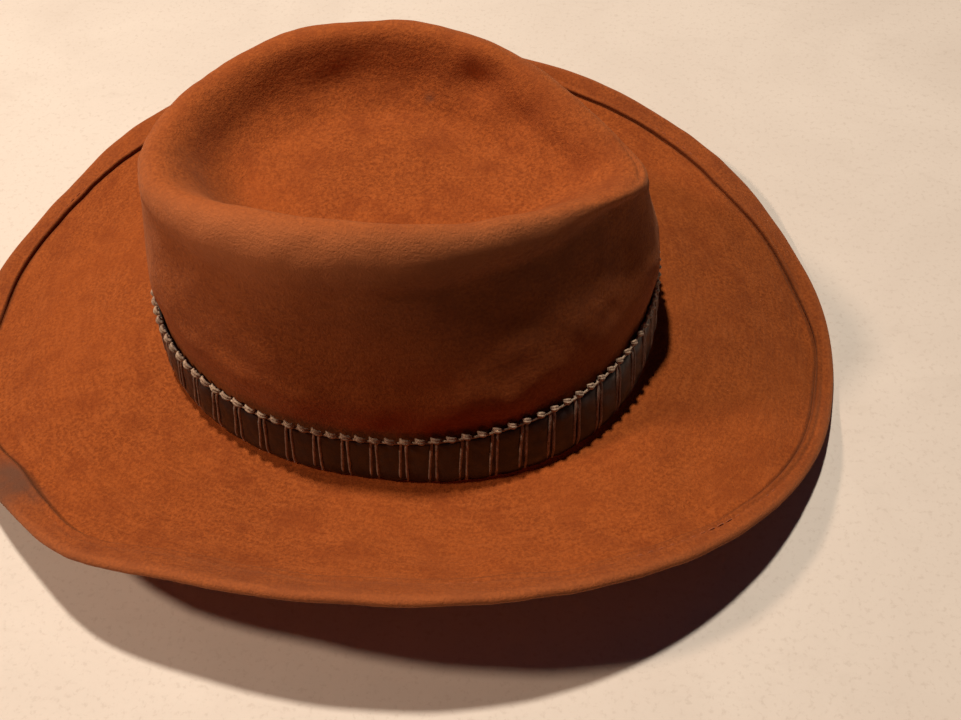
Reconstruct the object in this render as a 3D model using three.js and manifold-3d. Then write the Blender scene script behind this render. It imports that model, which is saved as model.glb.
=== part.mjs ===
// Western felt hat, resting on its brim. Millimetres, +Z up, +X towards the hat's front.
// The origin is on the table, under the middle of the brim.
import * as THREE from "three";
import { mergeVertices } from "three/addons/utils/BufferGeometryUtils.js";
import Module from "manifold-3d";

// ---- Driving dimensions ----
const FELT = 2.2; // thickness of the felt
const BASE_LENGTH = 103.3; // half the crown's outer length at the brim break
const BASE_WIDTH = 88.1; // half its outer width there
const BASE_X = 9.3; // how far the crown sits ahead of the brim's middle
const BASE_SQUARENESS = 2.35; // superellipse power of the head oval
const BASE_FULLNESS = 0.036; // how much wider the oval is at the front than at the middle
const BREAK_HEIGHT = 21.6; // mean height of the brim break over the table
const BREAK_WAVE = 4.4; // the break is this much higher at front and back, lower at the sides

const TOP_BACK = 89.5; // the crown's top outline: a half ellipse behind TOP_X ...
const TOP_FRONT = 101.4; // ... and a teardrop ahead of it
const TOP_WIDTH = 71.3;
const RIGHT_INSET = 0.056; // how much narrower the top is on the wearer's right
const TOP_X = 3.5;
const TEARDROP = 0.48; // how much the front of the top narrows to a soft point
const CREST_HEIGHT = 113.2; // mean height of the crown's rim over the table
const CREST_PITCH = -3.8; // extra height towards the front
const CREST_LEAN = -4.1; // extra height towards the wearer's left
const CREST_WAVE = -7; // lower at front and back, higher at the sides
const RIM_ROLL = 8.5; // width and depth of the rim's outer roll at the back
const FRONT_ROLL = 0.35; // how much tighter the roll is at the front
const RIGHT_ROLL = 0.4; // how much wider it is on the wearer's right ...
const RIGHT_DROP = 1.6; // ... and how much deeper
const LEFT_DROP = 0.3; // how much deeper it is on the wearer's left
const SIDE_SWELL = 4.2; // over the hatband the wall swells out this much at the sides ...
const END_SWELL = 2.7; // ... and this much at front and back,
const SWELL_HEIGHT = 42; // ... most of all at this height over the break
const SWELL_SPREAD = 17;
const DISH_DEPTH = 24; // depth of the dished crown top
const DISH_SLOPE = 0.37; // share of the way to the middle that the dish's wall takes

const BRIM_LENGTH = 194; // half the brim's overall length
const BRIM_WIDTH = 154; // half its overall width
const BRIM_SQUARENESS = 2.08;
const EDGE_HEIGHT = 22.5; // mean height of the brim's edge
const EDGE_ROLL = 23.2; // side curl: sides up, front and back down
const EDGE_LEAN = -6.8; // the wearer's right side is turned up more
const EDGE_TWIST = -1.5;
const EDGE_FLAT = -1.1;
const CORNER_ANGLE = THREE.MathUtils.degToRad(243); // a tighter bend in the turned-up edge
const CORNER_SPREAD = THREE.MathUtils.degToRad(9);
const CORNER_SIZE = 3.2;
const FILLET = 4; // size of the soft corner between wall and brim

const WELT_WIDTH = 12; // overwelt: the brim's edge folded back over its top
const WELT_RISE = 2.0; // thickness of the folded layer
const STITCH_INSET = 2.6; // from the welt's cut edge to its row of stitches
const UNDER_STRIP = 8; // width of the last facet under the brim's edge
const THREAD = 0.6; // thickness of the welt's stitches

const SWEAT_HEIGHT = 36; // leather sweatband
const SWEAT_THICK = 1.1;
const LABEL_LOW = 13; // the label's edges over the break
const LABEL_HIGH = 23.5;
const LABEL_THICK = 0.35;
const BOW_HEIGHT = 11; // middle of the bow over the break
const LINING_THICK = 0.45;
const LINING_TUCK = 24; // height at which the lining starts, behind the sweatband
const LINING_BEND = 30; // a facet line that it shares with the sweatband
const LINING_TOP = 78; // height of its upper edge over the break
const GAP = 0.3; // clearance between touching pieces

const BAND_BOTTOM = 2.2; // height of the hatband's lower edge over the break
const BAND_HEIGHT = 19.6;
const BAND_STANDOFF = 0.4;
const BAND_THICK = 2.2;
const PANELS = 58; // panels of the hatband, parted by pairs of thread
const LACING_THICK = 0.8;
const LACING_WIDTH = 2.2;
const BRAID_HEIGHT = 3.2;
const TAB_HALF_ANGLE = 0.11; // the tab that joins the strap's ends, at the wearer's left

const TAU = 2 * Math.PI;
const LEFT = TAU / 4;
const BACK = TAU / 2;
const SEGMENTS = PANELS; // every ring shares the same facets, so that touching faces stay parallel

// ---- Shape of the blocked felt ----
// t runs round the hat from the front over the wearer's left. Along a meridian, s runs
// 0 middle of the dish, 1 rim crest, 2 top of the wall, 3 brim break, 4 brim edge.
const smooth = (x) => THREE.MathUtils.smoothstep(x, 0, 1);
const mix = THREE.MathUtils.lerp;
const rightSide = (t) => smooth((-Math.sin(t) - 0.35) / 0.6);

function oval(t, length, width, power) {
  const c = Math.cos(t),
    s = Math.sin(t);
  const r = (Math.abs(c) ** power + Math.abs(s) ** power) ** (-1 / power);
  return [length * r * c, width * r * s];
}

function baseOutline(t) {
  const [x, y] = oval(t, BASE_LENGTH, BASE_WIDTH, BASE_SQUARENESS);
  return [BASE_X + x, y * (1 + BASE_FULLNESS * Math.cos(t))];
}

function topOutline(t) {
  const c = Math.cos(t);
  const narrow = 1 - TEARDROP * Math.max(c, 0) ** 2;
  const width = TOP_WIDTH * narrow * (1 - RIGHT_INSET * rightSide(t));
  return [TOP_X + (c < 0 ? TOP_BACK : TOP_FRONT) * c, width * Math.sin(t)];
}

function edgeOutline(t) {
  const [x, y] = oval(t, BRIM_LENGTH, BRIM_WIDTH, BRIM_SQUARENESS);
  const turn = (((t - CORNER_ANGLE) % TAU) + TAU + BACK) % TAU - BACK;
  const grow = 1 + (CORNER_SIZE / BRIM_WIDTH) * Math.exp(-((turn / CORNER_SPREAD) ** 2));
  return [x * grow, y * grow];
}

const breakHeight = (t) => BREAK_HEIGHT + BREAK_WAVE * Math.cos(2 * t);
const crestHeight = (t) =>
  CREST_HEIGHT + CREST_PITCH * Math.cos(t) + CREST_LEAN * Math.sin(t) + CREST_WAVE * Math.cos(2 * t);
const edgeHeight = (t) =>
  EDGE_HEIGHT + EDGE_LEAN * Math.sin(t) - EDGE_ROLL * Math.cos(2 * t) +
  EDGE_TWIST * Math.sin(2 * t) + EDGE_FLAT * Math.cos(4 * t);
const rollSize = (t) => RIM_ROLL * (1 - FRONT_ROLL * smooth(1.2 * Math.cos(t)));
const rollWidth = (t) => rollSize(t) * (1 + RIGHT_ROLL * rightSide(t));
const rollDepth = (t) =>
  rollSize(t) * (1 + RIGHT_DROP * rightSide(t) + LEFT_DROP * smooth(1.2 * Math.sin(t)));
const wallHeight = (t) => crestHeight(t) - rollDepth(t) - breakHeight(t);

// The felt's top lies no lower than its own thickness over the table, with a soft turn.
function restOnTable(z) {
  const soft = 1.5;
  const d = z - FELT;
  if (d <= -soft) return FELT;
  return d >= soft ? z : FELT + (d + soft) ** 2 / (4 * soft);
}

function dishPoint(t, inward) {
  const [ox, oy] = topOutline(t);
  const keep = 1 - rollWidth(t) / Math.hypot(ox - TOP_X, oy);
  const floor = CREST_HEIGHT - DISH_DEPTH;
  const z = mix(crestHeight(t), floor, smooth(inward / DISH_SLOPE));
  const k = keep * (1 - inward);
  return new THREE.Vector3(TOP_X + (ox - TOP_X) * k, oy * k, z);
}

function rollPoint(t, angle) {
  const crest = dishPoint(t, 0);
  const [ox, oy] = topOutline(t);
  const out = Math.sin(angle);
  const drop = rollDepth(t) * (1 - Math.cos(angle));
  return new THREE.Vector3(mix(crest.x, ox, out), mix(crest.y, oy, out), crest.z - drop);
}

function wallPoint(t, rise) {
  const [bx, by] = baseOutline(t);
  const [ox, oy] = topOutline(t);
  const height = wallHeight(t) * rise;
  const most = mix(END_SWELL, SIDE_SWELL, Math.sin(t) ** 2);
  const swell = most * Math.exp(-(((height - SWELL_HEIGHT) / SWELL_SPREAD) ** 2));
  const reach = swell / Math.hypot(ox - TOP_X, oy);
  const x = mix(bx, ox, rise) + (ox - TOP_X) * reach;
  return new THREE.Vector3(x, mix(by, oy, rise) + oy * reach, breakHeight(t) + height);
}

function brimPoint(t, out) {
  const [bx, by] = baseOutline(t);
  const [ex, ey] = edgeOutline(t);
  const curl = 1.7 - 0.45 * Math.cos(2 * t);
  const z = mix(breakHeight(t), edgeHeight(t), out ** curl);
  return new THREE.Vector3(mix(bx, ex, out), mix(by, ey, out), restOnTable(z));
}

function brimSpan(t) {
  const [bx, by] = baseOutline(t);
  const [ex, ey] = edgeOutline(t);
  return Math.hypot(ex - bx, ey - by);
}

const filletOnWall = (t) => FILLET / wallHeight(t);
const filletOnBrim = (t) => FILLET / brimSpan(t);

function feltPoint(t, s) {
  if (s <= 1) return dishPoint(t, 1 - s);
  if (s <= 2) return rollPoint(t, ((s - 1) * Math.PI) / 2);
  const up = filletOnWall(t),
    out = filletOnBrim(t);
  if (s <= 3 - up) return wallPoint(t, 3 - s);
  if (s >= 3 + out) return brimPoint(t, s - 3);
  const u = (s - 3 + up) / (up + out);
  const corner = wallPoint(t, 0).multiplyScalar(2 * u * (1 - u));
  return wallPoint(t, up)
    .multiplyScalar((1 - u) ** 2)
    .add(corner)
    .addScaledVector(brimPoint(t, out), u * u);
}

// The point a distance off a surface, outwards where the distance is positive.
function offset(surface, t, s, distance) {
  const step = 1e-3;
  const along = surface(t, s + step).sub(surface(t, s - step));
  const round = surface(t + step, s).sub(surface(t - step, s));
  const normal = along.cross(round).normalize();
  return surface(t, s).addScaledVector(normal, distance);
}

const offFelt = (t, s, distance) => offset(feltPoint, t, s, distance);

// A point by its height over the brim break and its distance off the crown's wall.
function offWall(t, height, distance) {
  const wall = (a, fall) => wallPoint(a, -fall);
  return offset(wall, t, -height / wallHeight(t), distance);
}

// ---- Closed meshes ----
function closedGeometry(points, triangles) {
  const geometry = new THREE.BufferGeometry();
  let volume = 0;
  const [a, b, c] = [0, 0, 0].map(() => new THREE.Vector3());
  for (let i = 0; i < triangles.length; i += 3) {
    a.copy(points[triangles[i]]);
    b.copy(points[triangles[i + 1]]);
    c.copy(points[triangles[i + 2]]);
    volume += a.dot(b.cross(c));
  }
  geometry.setFromPoints(points);
  geometry.setIndex(volume > 0 ? triangles : triangles.toReversed());
  geometry.computeVertexNormals();
  return geometry;
}

// A band round the hat: section(t) gives the corners of its cross-section, in order.
function ringGeometry(section, segments) {
  const points = [],
    triangles = [];
  for (let i = 0; i < segments; i++) points.push(...section((i * TAU) / segments));
  const n = points.length / segments;
  for (let i = 0; i < segments; i++)
    for (let j = 0; j < n; j++) {
      const here = i * n,
        next = ((i + 1) % segments) * n,
        k = (j + 1) % n;
      triangles.push(here + j, next + j, next + k, here + j, next + k, here + k);
    }
  return closedGeometry(points, triangles);
}

// A piece of a band, from one angle to another, closed by its two end faces.
function stripGeometry(section, from, to, steps) {
  const points = [],
    triangles = [];
  for (let i = 0; i <= steps; i++) points.push(...section(mix(from, to, i / steps)));
  const n = points.length / (steps + 1);
  for (let i = 0; i < steps; i++)
    for (let j = 0; j < n; j++) {
      const here = i * n,
        k = (j + 1) % n;
      triangles.push(here + j, here + n + j, here + n + k, here + j, here + n + k, here + k);
    }
  const last = steps * n;
  for (let j = 1; j < n - 1; j++) {
    triangles.push(0, j, j + 1);
    triangles.push(last, last + j + 1, last + j);
  }
  return closedGeometry(points, triangles);
}

// A shell closed by a pole at each end: meridian(t) runs from beside one pole to the other.
function shellGeometry(meridian, segments, firstPole, lastPole) {
  const points = [],
    triangles = [];
  for (let i = 0; i < segments; i++) points.push(...meridian((i * TAU) / segments));
  const n = points.length / segments;
  points.push(firstPole, lastPole);
  const first = segments * n,
    last = first + 1;
  for (let i = 0; i < segments; i++) {
    const here = i * n,
      next = ((i + 1) % segments) * n;
    triangles.push(first, next, here);
    for (let j = 0; j < n - 1; j++) {
      triangles.push(here + j, next + j, next + j + 1, here + j, next + j + 1, here + j + 1);
    }
    triangles.push(last, here + n - 1, next + n - 1);
  }
  return closedGeometry(points, triangles);
}

const circle = (sides, radius, turn = 0) =>
  Array.from({ length: sides }, (_, i) => {
    const a = turn + (i * TAU) / sides;
    return [radius * Math.cos(a), radius * Math.sin(a)];
  });

// A section beside the crown's wall: corners are [height over the break, distance off the wall].
const wallSection = (corners) => (t) => corners.map(([h, d]) => offWall(t, h, d));
const wallTube = (height, distance, radius, sides) =>
  wallSection(circle(sides, radius).map(([x, y]) => [height + x, distance + y]));

const wasm = await Module();
wasm.setup();

function toSolid(geometry) {
  const bare = geometry.clone().deleteAttribute("normal").deleteAttribute("uv");
  const merged = mergeVertices(bare);
  return new wasm.Manifold(
    new wasm.Mesh({
      numProp: 3,
      vertProperties: merged.attributes.position.array,
      triVerts: new Uint32Array(merged.index.array),
    }),
  );
}

function fromSolid(solid) {
  const mesh = solid.getMesh();
  const geometry = new THREE.BufferGeometry();
  geometry.setAttribute("position", new THREE.BufferAttribute(mesh.vertProperties, mesh.numProp));
  geometry.setIndex(new THREE.BufferAttribute(mesh.triVerts, 1));
  geometry.computeVertexNormals();
  return geometry;
}

// ---- Materials ----
const finish = (color, roughness) => new THREE.MeshStandardMaterial({ color, roughness, metalness: 0 });
const felt = finish(0x9a4c22, 0.95);
const weltThread = finish(0x7a3a1c, 0.8);
const sweatLeather = finish(0x7b4a2a, 0.55);
const reedPlastic = finish(0xd8cfc0, 0.4);
const satin = finish(0x4a2a1c, 0.35);
const bandLeather = finish(0x2a1410, 0.45);
const waxedThread = finish(0x8c7358, 0.6);
const labelPaper = finish(0xe6dcc4, 0.8);

// ---- Sub-parts fixed to the hat ----
// Crown, brim and overwelt are one blocked piece of felt: the outside from the dish to the
// welt's cut edge, up over the folded layer, round the edge and back along the inside.
function feltBody() {
  const dish = [0.3, 0.52, 0.62, 0.7, 0.78, 0.87, 0.94, 1];
  const roll = [1.33, 1.67, 2];
  const wall = [2.12, 2.24, 2.36, 2.48, 2.6, 2.72, 2.84];
  const brim = [0.22, 0.42, 0.6, 0.75];
  const edgeRadius = (WELT_RISE + FELT) / 2;
  const edgeTurns = [90, 40, 0, -40, -90].map(THREE.MathUtils.degToRad);
  const meridian = (t) => {
    const span = brimSpan(t);
    const up = 3 - filletOnWall(t),
      out = 3 + filletOnBrim(t),
      cut = 4 - WELT_WIDTH / span;
    const corner = [0, 0.25, 0.5, 1].map((k) => mix(up, out, k));
    const outside = [...dish, ...roll, ...wall, ...corner];
    const brimStops = brim.map((b) => mix(out, cut, b));
    const top = [...outside, ...brimStops, cut - 0.002].map((s) => offFelt(t, s, 0));
    const step = [cut, (cut + 4) / 2].map((s) => offFelt(t, s, WELT_RISE));
    const edge = edgeTurns.map((a) => {
      const s = 4 - (edgeRadius * (1 - Math.cos(a))) / span;
      return offFelt(t, s, edgeRadius * Math.sin(a) + (WELT_RISE - FELT) / 2);
    });
    const flat = 4 - UNDER_STRIP / span;
    const under = [flat, cut, ...brimStops.toReversed(), ...outside.toReversed()];
    const inside = under.map((s) => offFelt(t, s, -FELT));
    const all = [...top, ...step, ...edge, ...inside];
    for (const p of all) if (p.z < 0.35) p.z = 0;
    return all;
  };
  const poleTop = offFelt(0, 0.02, 0).setX(TOP_X).setY(0);
  const poleUnder = poleTop.clone().setZ(poleTop.z - FELT);
  return shellGeometry(meridian, SEGMENTS, poleTop, poleUnder);
}

// The row of stitches that holds the overwelt down, just outside its cut edge.
function weltStitching() {
  const section = (t) => {
    const s = 4 - (WELT_WIDTH - STITCH_INSET) / brimSpan(t);
    const half = THREAD / 2 / brimSpan(t);
    const low = WELT_RISE + 2 * GAP,
      high = low + THREAD;
    return [
      offFelt(t, s - half, low),
      offFelt(t, s + half, low),
      offFelt(t, s + half, high),
      offFelt(t, s - half, high),
    ];
  };
  return ringGeometry(section, SEGMENTS);
}

const liningOut = -(FELT + 0.35);
const liningIn = liningOut - LINING_THICK;
const sweatOut = liningIn - GAP;
const sweatIn = sweatOut - SWEAT_THICK;

function sweatband() {
  const heights = [1.2, 12, LINING_TUCK, LINING_BEND, SWEAT_HEIGHT];
  const outside = heights.map((h) => [h, sweatOut]);
  const inside = heights.toReversed().map((h) => [h, sweatIn]);
  const corners = [...outside, ...inside];
  return ringGeometry(wallSection(corners), SEGMENTS);
}

const REED_HEIGHT = -1.1;
const REED_RADIUS = 0.8;
const reedLine = (sweatOut + sweatIn) / 2;

const sweatbandReed = () => ringGeometry(wallTube(REED_HEIGHT, reedLine, REED_RADIUS, 6), SEGMENTS);

// The tape folded round the reed, open at the top where the sweatband's edge enters it.
function reedBinding() {
  const inner = REED_RADIUS + GAP,
    outer = inner + 0.5;
  const turns = [50, 115, 180, 245, 310].map(THREE.MathUtils.degToRad);
  const arc = (r, list) => list.map((a) => [REED_HEIGHT + r * Math.cos(a), reedLine + r * Math.sin(a)]);
  const corners = [...arc(inner, turns), ...arc(outer, turns.toReversed())];
  return ringGeometry(wallSection(corners), SEGMENTS);
}

const sweatbandStitching = () =>
  ringGeometry(wallTube(4, sweatIn - 2 * GAP - THREAD / 2, THREAD / 2, 4), SEGMENTS);

// A small flat ribbon bow at the back of the sweatband.
function sweatbandBow() {
  const outline = new THREE.Shape();
  outline.moveTo(2, 1.6);
  for (const side of [1, -1]) {
    outline.bezierCurveTo(5 * side, 6 * side, 14 * side, 6.5 * side, 14 * side, 4.5 * side);
    outline.lineTo(14 * side, -4.5 * side);
    outline.bezierCurveTo(14 * side, -6.5 * side, 5 * side, -6 * side, 2 * side, -1.6 * side);
    if (side > 0) outline.lineTo(-2, -1.6);
  }
  outline.closePath();
  const bow = new THREE.ExtrudeGeometry(outline, { depth: 1.6, bevelEnabled: false, curveSegments: 5 });
  const at = bow.attributes.position;
  const reach = BASE_LENGTH - FELT;
  for (let i = 0; i < at.count; i++) {
    const t = BACK - at.getX(i) / reach;
    const p = offWall(t, BOW_HEIGHT + at.getY(i), sweatIn - 2 * GAP - at.getZ(i));
    at.setXYZ(i, p.x, p.y, p.z);
  }
  return bow;
}

function sizeLabel() {
  const out = sweatIn - GAP,
    from = BACK - 0.42,
    to = BACK - 0.27;
  const corners = [
    [LABEL_LOW, out],
    [LABEL_HIGH, out],
    [LABEL_HIGH, out - LABEL_THICK],
    [LABEL_LOW, out - LABEL_THICK],
  ];
  return stripGeometry(wallSection(corners), from, to, 3);
}

function liningSide() {
  const lip = LINING_TOP + 2;
  const heights = [LINING_TUCK, LINING_BEND, SWEAT_HEIGHT, 44, 52, 59, 66];
  const outside = heights.map((h) => [h, liningOut]);
  const inside = heights.toReversed().map((h) => [h, liningIn]);
  const corners = [
    ...outside,
    [LINING_TOP - 4, liningOut],
    [lip - 1.5, liningOut - 1.5],
    [lip, liningOut - 5],
    [lip - LINING_THICK, liningIn - 5],
    [lip - 2, liningIn - 1.5],
    [LINING_TOP - 4.5, liningIn],
    ...inside,
  ];
  // Over the sweatband the heights are spread so that the upper edge lies level.
  const level = (t, h) => {
    const spread = (TIP_HEIGHT - breakHeight(t) - SWEAT_HEIGHT) / (LINING_TOP - SWEAT_HEIGHT);
    return SWEAT_HEIGHT + (h - SWEAT_HEIGHT) * spread;
  };
  const section = (t) => corners.map(([h, d]) => offWall(t, h > SWEAT_HEIGHT ? level(t, h) : h, d));
  return ringGeometry(section, SEGMENTS);
}

// The tip and its piping lie level, a little under the dish of the crown.
const TIP_HEIGHT = CREST_HEIGHT - DISH_DEPTH - FELT - 3;
const TIP_INSET = 9.5;
const tipRim = (t, inset) =>
  offWall(t, TIP_HEIGHT - breakHeight(t), liningOut - inset).setZ(TIP_HEIGHT);

function liningPiping() {
  const radius = 0.8;
  const section = (t) =>
    circle(6, radius).map(([x, y]) => {
      const p = tipRim(t, TIP_INSET - radius - GAP + x);
      return p.setZ(TIP_HEIGHT + y);
    });
  return ringGeometry(section, SEGMENTS);
}

function liningTip() {
  const sag = 2.5;
  const middle = new THREE.Vector3(TOP_X, 0, TIP_HEIGHT - sag);
  const at = (t, share, z) => {
    const p = tipRim(t, TIP_INSET + GAP).lerp(middle, 1 - share);
    return p.setZ(z - sag * (1 - share * share));
  };
  const meridian = (t) => [
    at(t, 0.5, TIP_HEIGHT + LINING_THICK),
    at(t, 1, TIP_HEIGHT + LINING_THICK),
    at(t, 1, TIP_HEIGHT),
    at(t, 0.5, TIP_HEIGHT),
  ];
  const top = middle.clone().setZ(middle.z + LINING_THICK);
  return shellGeometry(meridian, SEGMENTS, top, middle);
}

// ---- The hatband, which lifts off over the crown ----
const bandIn = BAND_STANDOFF;
const bandOut = bandIn + BAND_THICK;
const bandTop = BAND_BOTTOM + BAND_HEIGHT;

function hatbandStrap() {
  const corners = [
    [BAND_BOTTOM, bandIn],
    [BAND_BOTTOM, bandOut - 0.7],
    [BAND_BOTTOM + 2, bandOut],
    [bandTop - 2, bandOut],
    [bandTop, bandOut - 0.7],
    [bandTop, bandIn],
  ];
  return ringGeometry(wallSection(corners), PANELS);
}

// The braid along the strap's upper edge and the thread pairs that hang from it are one lacing.
function hatbandLacing() {
  const inner = bandIn + GAP,
    outer = bandOut + GAP + LACING_THICK;
  const low = bandTop + GAP,
    high = low + BRAID_HEIGHT;
  const braid = [
    [low, inner],
    [low, outer],
    [(low + high) / 2, outer + 0.5],
    [high, outer],
    [high, inner + 0.4],
  ];
  let lacing = toSolid(ringGeometry(wallSection(braid), PANELS));
  const rung = [
    [BAND_BOTTOM + 0.6, bandOut + GAP],
    [BAND_BOTTOM + 0.6, outer],
    [low + 1, outer - 0.2],
    [low + 1, bandOut + GAP],
  ];
  for (let i = 0; i < PANELS; i++) {
    const t = ((i + 0.5) * TAU) / PANELS;
    if (Math.abs(t - LEFT) < TAB_HALF_ANGLE + 0.02) continue;
    const half = LACING_WIDTH / 2 / Math.hypot(...baseOutline(t));
    lacing = lacing.add(toSolid(stripGeometry(wallSection(rung), t - half, t + half, 1)));
  }
  return fromSolid(lacing);
}

// A stitched leather tab covers the joint of the strap's two ends.
function hatbandJointTab() {
  const inner = bandOut + GAP,
    outer = inner + 1.2;
  const corners = [
    [BAND_BOTTOM + 1, inner],
    [BAND_BOTTOM + 1, outer],
    [bandTop - 1, outer],
    [bandTop - 1, inner],
  ];
  return stripGeometry(wallSection(corners), LEFT - TAB_HALF_ANGLE, LEFT + TAB_HALF_ANGLE, 4);
}

// ---- Assembly ----
function named(name, geometry, material) {
  const mesh = new THREE.Mesh(geometry, material);
  mesh.name = name;
  return mesh;
}

const hat = new THREE.Group();
hat.add(
  named("felt_body", feltBody(), felt),
  named("welt_stitching", weltStitching(), weltThread),
  named("sweatband", sweatband(), sweatLeather),
  named("sweatband_reed", sweatbandReed(), reedPlastic),
  named("reed_binding", reedBinding(), satin),
  named("sweatband_stitching", sweatbandStitching(), weltThread),
  named("sweatband_bow", sweatbandBow(), satin),
  named("size_label", sizeLabel(), labelPaper),
  named("lining_side", liningSide(), satin),
  named("lining_piping", liningPiping(), waxedThread),
  named("lining_tip", liningTip(), satin),
);

const hatband = new THREE.Group();
hatband.add(
  named("hatband_strap", hatbandStrap(), bandLeather),
  named("hatband_lacing", hatbandLacing(), waxedThread),
  named("hatband_joint_tab", hatbandJointTab(), bandLeather),
);

const assembly = new THREE.Group();
assembly.add(hat, hatband);
export default assembly;
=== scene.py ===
# Western felt hat on a pale table: felt body, laced leather hatband, sweatband and lining.
import math

import bpy
import numpy as np
from mathutils import Matrix, Vector


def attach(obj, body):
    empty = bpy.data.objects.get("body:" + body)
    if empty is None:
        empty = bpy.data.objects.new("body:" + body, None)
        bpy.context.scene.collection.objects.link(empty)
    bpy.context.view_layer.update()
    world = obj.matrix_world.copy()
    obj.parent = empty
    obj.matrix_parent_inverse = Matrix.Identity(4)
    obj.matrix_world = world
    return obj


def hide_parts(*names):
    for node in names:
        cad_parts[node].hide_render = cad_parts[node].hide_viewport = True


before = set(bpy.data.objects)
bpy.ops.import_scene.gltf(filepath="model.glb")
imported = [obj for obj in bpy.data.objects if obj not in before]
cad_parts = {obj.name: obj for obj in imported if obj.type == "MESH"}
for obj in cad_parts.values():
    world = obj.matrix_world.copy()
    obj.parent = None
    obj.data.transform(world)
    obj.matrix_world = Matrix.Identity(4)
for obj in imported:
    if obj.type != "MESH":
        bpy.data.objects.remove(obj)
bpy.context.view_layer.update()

# ---- Driving dimensions, in millimetres, as in the CAD model ----
MM = 0.001
FELT = 2.2

# The brim break: its oval seen from above, and the wave of its height.
BASE_LENGTH, BASE_WIDTH, BASE_X, BASE_SQUARENESS, BASE_FULLNESS = 103.3, 88.1, 9.3, 2.35, 0.036
BREAK_HEIGHT, BREAK_WAVE = 21.6, 4.4

# The crown: the top of its wall seen from above, the crest's height, the rim's roll, the dish.
TOP_BACK, TOP_FRONT, TOP_WIDTH, RIGHT_INSET, TOP_X, TEARDROP = 89.5, 101.4, 71.3, 0.056, 3.5, 0.48
CREST_HEIGHT, CREST_PITCH, CREST_LEAN, CREST_WAVE = 113.2, -3.8, -4.1, -7
RIM_ROLL, FRONT_ROLL, RIGHT_ROLL, RIGHT_DROP, LEFT_DROP = 8.5, 0.35, 0.4, 1.6, 0.3
ROLL_REACH = 1.2
SIDE_SWELL, END_SWELL, SWELL_HEIGHT, SWELL_SPREAD = 4.2, 2.7, 42, 17
DISH_DEPTH, DISH_SLOPE = 24, 0.37

# The brim: its edge seen from above, the wave of the edge's height, its curl and the overwelt.
BRIM_LENGTH, BRIM_WIDTH, BRIM_SQUARENESS = 194, 154, 2.08
EDGE_HEIGHT, EDGE_ROLL, EDGE_LEAN, EDGE_TWIST, EDGE_FLAT = 22.5, 23.2, -6.8, -1.5, -1.1
CURL, CURL_WAVE = 1.7, 0.45
CORNER_ANGLE, CORNER_SPREAD, CORNER_SIZE = math.radians(243), math.radians(9), 3.2
FILLET = 4
WELT_WIDTH, WELT_RISE, STITCH_INSET, STITCH_DIP = 12, 2.0, 2.6, 0.45

# Inside the crown.
SWEAT_LOW, SWEAT_HEIGHT, SWEAT_THICK, BOW_HEIGHT = 1.2, 36, 1.1, 11
LABEL_LOW, LABEL_HIGH, LABEL_THICK = 13, 23.5, 0.35
LINING_THICK, LINING_GAP, LINING_TUCK, LINING_TOP, GAP = 0.45, 0.35, 24, 78, 0.3
REED_HEIGHT, REED_RADIUS, BINDING_THICK = -1.1, 0.8, 0.5
PIPING_RADIUS = 0.8

# The hatband.
BAND_BOTTOM, BAND_HEIGHT, BAND_STANDOFF, BAND_THICK = 2.2, 19.6, 0.4, 2.2
PANELS = 58
TAB_HALF_TURN, TAB_THICK, TAB_CLEAR_TURN = 0.11, 1.2, 0.13

TAU = 2 * math.pi
LEFT, BACK = TAU / 4, TAU / 2
BODY, BAND = "hat", "hatband"


# ---- Shape of the blocked felt: t runs round the hat, s along a meridian, as in the CAD model ----
# s is 0 in the middle of the dish, 1 on the rim's crest, 2 at the top of the wall, 3 at the brim
# break and 4 at the brim's edge. All take arrays that broadcast and give arrays of points.
def smooth(x):
    x = np.clip(x, 0, 1)
    return x * x * (3 - 2 * x)


def mix(a, b, k):
    return a + (b - a) * k


def bump_at(x, centre, width):
    return np.exp(-(((x - centre) / width) ** 2))


def angles(count):
    return np.arange(count) * TAU / count


def turn_from(t, centre):
    """The turn from centre to t, in radians either way."""
    return (t - centre + BACK) % TAU - BACK


def point(x, y, z):
    return np.stack(np.broadcast_arrays(x, y, z), -1)


def oval(t, length, width, power):
    c, s = np.cos(t), np.sin(t)
    r = (np.abs(c) ** power + np.abs(s) ** power) ** (-1 / power)
    return length * r * c, width * r * s


def base_outline(t):
    x, y = oval(t, BASE_LENGTH, BASE_WIDTH, BASE_SQUARENESS)
    return BASE_X + x, y * (1 + BASE_FULLNESS * np.cos(t))


def right_side(t):
    """0 over the front, left and back, and 1 over the middle of the wearer's right."""
    start, blend = 0.35, 0.6
    return smooth((-np.sin(t) - start) / blend)


def top_outline(t):
    c = np.cos(t)
    narrow = 1 - TEARDROP * np.maximum(c, 0) ** 2
    width = TOP_WIDTH * narrow * (1 - RIGHT_INSET * right_side(t))
    return TOP_X + np.where(c < 0, TOP_BACK, TOP_FRONT) * c, width * np.sin(t)


def edge_outline(t):
    x, y = oval(t, BRIM_LENGTH, BRIM_WIDTH, BRIM_SQUARENESS)
    grow = 1 + CORNER_SIZE / BRIM_WIDTH * bump_at(turn_from(t, CORNER_ANGLE), 0, CORNER_SPREAD)
    return x * grow, y * grow


def break_height(t):
    return BREAK_HEIGHT + BREAK_WAVE * np.cos(2 * t)


def crest_height(t):
    pitch, lean = CREST_PITCH * np.cos(t), CREST_LEAN * np.sin(t)
    return CREST_HEIGHT + pitch + lean + CREST_WAVE * np.cos(2 * t)


def edge_height(t):
    roll = EDGE_ROLL * np.cos(2 * t)
    twist = EDGE_TWIST * np.sin(2 * t) + EDGE_FLAT * np.cos(4 * t)
    return EDGE_HEIGHT + EDGE_LEAN * np.sin(t) - roll + twist


def roll_size(t):
    return RIM_ROLL * (1 - FRONT_ROLL * smooth(ROLL_REACH * np.cos(t)))


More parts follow.
